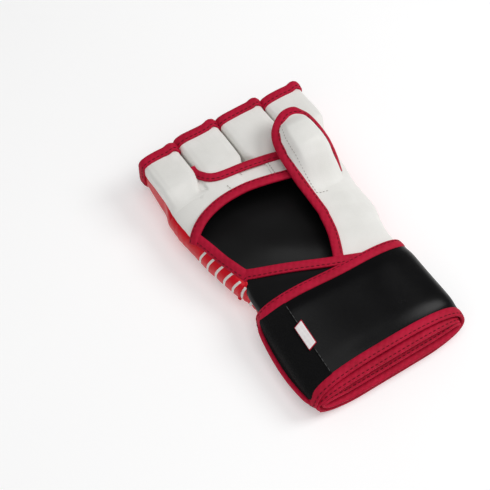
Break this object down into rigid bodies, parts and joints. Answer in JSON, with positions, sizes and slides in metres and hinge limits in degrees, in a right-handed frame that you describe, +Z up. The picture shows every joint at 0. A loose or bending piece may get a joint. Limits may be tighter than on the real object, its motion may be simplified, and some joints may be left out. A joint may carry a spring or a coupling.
{
  "type": "mma glove",
  "caption": "Open-finger grappling glove with padded back, bound palm opening, separate finger and thumb sleeves, and a wrist strap that peels open.",
  "frame": {"origin": "bottom centre of the closed glove lying on the padded back of the hand", "axes": "+X to the thumb side, +Y to the fingers, +Z up out of the palm"},
  "size_m": [0.128, 0.208, 0.0585],
  "materials": {
    "red_leather": "glossy grained red synthetic leather over foam",
    "white_leather": "soft satin warm white leather with fine grain",
    "black_leather": "satin black synthetic leather",
    "lining": "smooth black satin lining",
    "foam": "grey closed-cell padding foam, hidden inside the shells",
    "crimson_tape": "folded crimson edge tape with a row of stitches",
    "loop_pile": "matte black loop pile",
    "hook_webbing": "matte black hook-and-loop webbing",
    "label_fabric": "plain pale woven label, blank"
  },
  "bodies": {
    "hand": {"back_shell": "red_leather", "wrist_flex_panel": "red_leather", "knuckle_foam": "foam", "back_lining": "lining", "ulnar_palm_panel": "white_leather", "palm_bar": "white_leather", "grip_tape": "crimson_tape", "palm_opening_upper_tape": "crimson_tape", "palm_opening_edge_tape": "crimson_tape", "palm_opening_thumb_tape": "crimson_tape", "thumb_base_panel": "white_leather", "index_base_panel": "white_leather", "thumb_edge_panel": "white_leather"},
    "cuff": {"cuff_back_panel": "black_leather", "wrist_wrap": "black_leather", "wrist_wrap_upper_tape": "crimson_tape", "wrist_wrap_hem_tape": "crimson_tape", "cuff_back_hem_tape": "crimson_tape", "loop_patch": "loop_pile", "strap_root": "black_leather", "strap_root_upper_tape": "crimson_tape", "strap_root_hem_tape": "crimson_tape"},
    "strap": {"strap_panel": "black_leather", "strap_upper_tape": "crimson_tape", "strap_hem_tape": "crimson_tape", "strap_label": "label_fabric"},
    "strap_tip": {"hook_band": "hook_webbing", "hook_band_upper_tape": "crimson_tape", "hook_band_hem_tape": "crimson_tape", "hook_band_end_tape": "crimson_tape"},
    "thumb_sleeve": {"thumb_underside": "white_leather", "thumb_cover": "white_leather", "thumb_foam_pad": "foam", "thumb_lining": "lining", "thumb_side_tape": "crimson_tape", "thumb_mouth_tape": "crimson_tape"},
    "little_sleeve": {"little_back_cover": "red_leather", "little_foam_pad": "foam", "little_ulnar_gusset": "white_leather", "little_radial_gusset": "white_leather", "little_palm_panel": "white_leather", "little_tip_tape": "crimson_tape"},
    "ring_sleeve": {"ring_back_cover": "red_leather", "ring_foam_pad": "foam", "ring_ulnar_gusset": "white_leather", "ring_radial_gusset": "white_leather", "ring_palm_panel": "white_leather", "ring_tip_tape": "crimson_tape"},
    "middle_sleeve": {"middle_back_cover": "red_leather", "middle_foam_pad": "foam", "middle_ulnar_gusset": "white_leather", "middle_radial_gusset": "white_leather", "middle_palm_panel": "white_leather", "middle_tip_tape": "crimson_tape"},
    "index_sleeve": {"index_back_cover": "red_leather", "index_foam_pad": "foam", "index_ulnar_gusset": "white_leather", "index_radial_gusset": "white_leather", "index_palm_panel": "white_leather", "index_tip_tape": "crimson_tape"}
  },
  "joints": [
    {"name": "wrist_flex", "type": "hinge", "parent": "hand", "child": "cuff", "pos_m": [-0.001, -0.022, 0.001], "axis": [1, 0, 0], "range_deg": [-8, 20]},
    {"name": "strap_peel", "type": "hinge", "parent": "cuff", "child": "strap", "pos_m": [0.036, -0.066, 0.028], "axis": [-0.0195, 0.9947, 0.101], "range_deg": [0, 110]},
    {"name": "strap_tip_peel", "type": "hinge", "parent": "strap", "child": "strap_tip", "pos_m": [-0.043, -0.066, 0.0272], "axis": [0.0211, 0.9949, 0.0983], "range_deg": [0, 60]},
    {"name": "thumb_abduct", "type": "hinge", "parent": "hand", "child": "thumb_sleeve", "pos_m": [0.0485, 0.021, 0.035], "axis": [0, 0, -1], "range_deg": [0, 45], "stiffness_Nm_per_rad": 0.05},
    {"name": "little_flex", "type": "hinge", "parent": "hand", "child": "little_sleeve", "pos_m": [-0.0467, 0.063, 0.031], "axis": [1, 0, 0], "range_deg": [0, 55]},
    {"name": "ring_flex", "type": "hinge", "parent": "hand", "child": "ring_sleeve", "pos_m": [-0.0166, 0.063, 0.031], "axis": [1, 0, 0], "range_deg": [0, 55]},
    {"name": "middle_flex", "type": "hinge", "parent": "hand", "child": "middle_sleeve", "pos_m": [0.0168, 0.063, 0.031], "axis": [1, 0, 0], "range_deg": [0, 40]},
    {"name": "index_flex", "type": "hinge", "parent": "hand", "child": "index_sleeve", "pos_m": [0.0493, 0.063, 0.031], "axis": [1, 0, 0], "range_deg": [0, 40]}
  ]
}
